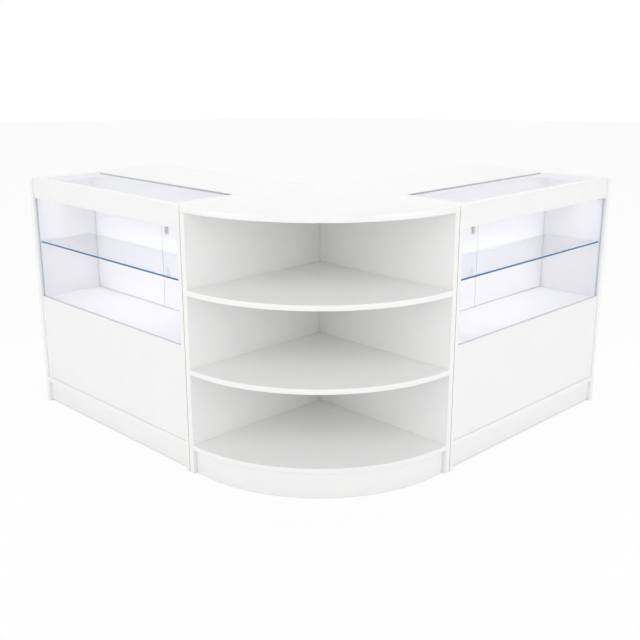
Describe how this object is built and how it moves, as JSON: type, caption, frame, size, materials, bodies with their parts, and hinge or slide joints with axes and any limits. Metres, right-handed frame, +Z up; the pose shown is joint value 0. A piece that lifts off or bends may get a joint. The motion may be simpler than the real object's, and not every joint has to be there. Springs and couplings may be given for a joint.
{
  "type": "shop counter",
  "caption": "L-shaped shop counter: glass-fronted display counters with hinged, lockable staff-side doors, joined by an open quarter-round corner shelf unit.",
  "frame": {"origin": "middle of the square footprint, on the floor", "axes": "+Z up; the left counter runs along -X and faces -Y, the right counter runs along +Y and faces +X, and the corner unit lies at +X -Y"},
  "size_m": [1.5638, 1.5638, 0.9],
  "materials": {
    "board": "white melamine on chipboard, satin",
    "glass": "clear float glass, arrised edges",
    "steel": "nickel-plated",
    "light_bar": "anodised",
    "catch": "moulded white"
  },
  "bodies": {
    "carcass": {"left_inner_end_panel": "board", "left_outer_end_panel": "board", "left_base_shelf": "board", "left_kickboard": "board", "left_rear_kickboard": "board", "left_display_floor": "board", "left_display_rail": "board", "left_storage_shelf": "board", "left_lower_front_panel": "board", "left_fascia": "board", "left_serving_top": "board", "left_top_glass": "glass", "left_front_glass": "glass", "left_glass_shelf": "glass", "left_light_bar": "light_bar", "left_inner_door_hinge_frame": "steel", "left_outer_door_hinge_frame": "steel", "left_door_catch": "catch", "right_inner_end_panel": "board", "right_outer_end_panel": "board", "right_base_shelf": "board", "right_kickboard": "board", "right_rear_kickboard": "board", "right_display_floor": "board", "right_display_rail": "board", "right_storage_shelf": "board", "right_lower_front_panel": "board", "right_fascia": "board", "right_serving_top": "board", "right_top_glass": "glass", "right_front_glass": "glass", "right_glass_shelf": "glass", "right_light_bar": "light_bar", "right_inner_door_hinge_frame": "steel", "right_outer_door_hinge_frame": "steel", "right_door_catch": "catch", "corner_left_panel": "board", "corner_right_panel": "board", "corner_top": "board", "corner_base_shelf": "board", "corner_shelf_1": "board", "corner_shelf_2": "board", "corner_kickboard": "board"},
    "left_outer_door_body": {"left_outer_door": "board", "left_outer_door_hinge": "steel", "left_outer_door_knob": "steel"},
    "left_inner_door_body": {"left_inner_door": "board", "left_inner_door_hinge": "steel", "left_lock_body": "steel", "left_lock_nut": "steel"},
    "left_lock": {"left_lock_cam": "steel"},
    "right_outer_door_body": {"right_outer_door": "board", "right_outer_door_hinge": "steel", "right_outer_door_knob": "steel"},
    "right_inner_door_body": {"right_inner_door": "board", "right_inner_door_hinge": "steel", "right_lock_body": "steel", "right_lock_nut": "steel"},
    "right_lock": {"right_lock_cam": "steel"}
  },
  "joints": [
    {"name": "left_outer_door_swing", "type": "hinge", "parent": "carcass", "child": "left_outer_door_body", "pos_m": [-0.7599, -0.4961, 0.6035], "axis": [0, 0, 1], "range_deg": [0, 90]},
    {"name": "left_inner_door_swing", "type": "hinge", "parent": "carcass", "child": "left_inner_door_body", "pos_m": [0.1411, -0.4961, 0.6035], "axis": [0, 0, -1], "range_deg": [0, 75]},
    {"name": "left_lock_turn", "type": "hinge", "parent": "left_inner_door_body", "child": "left_lock", "pos_m": [-0.2734, -0.5225, 0.752], "axis": [0, -1, 0], "range_deg": [0, 180]},
    {"name": "right_outer_door_swing", "type": "hinge", "parent": "carcass", "child": "right_outer_door_body", "pos_m": [0.4961, 0.7599, 0.6035], "axis": [0, 0, -1], "range_deg": [0, 90]},
    {"name": "right_inner_door_swing", "type": "hinge", "parent": "carcass", "child": "right_inner_door_body", "pos_m": [0.4961, -0.1411, 0.6035], "axis": [0, 0, 1], "range_deg": [0, 75]},
    {"name": "right_lock_turn", "type": "hinge", "parent": "right_inner_door_body", "child": "right_lock", "pos_m": [0.5225, 0.2734, 0.752], "axis": [-1, 0, 0], "range_deg": [0, 180]}
  ]
}
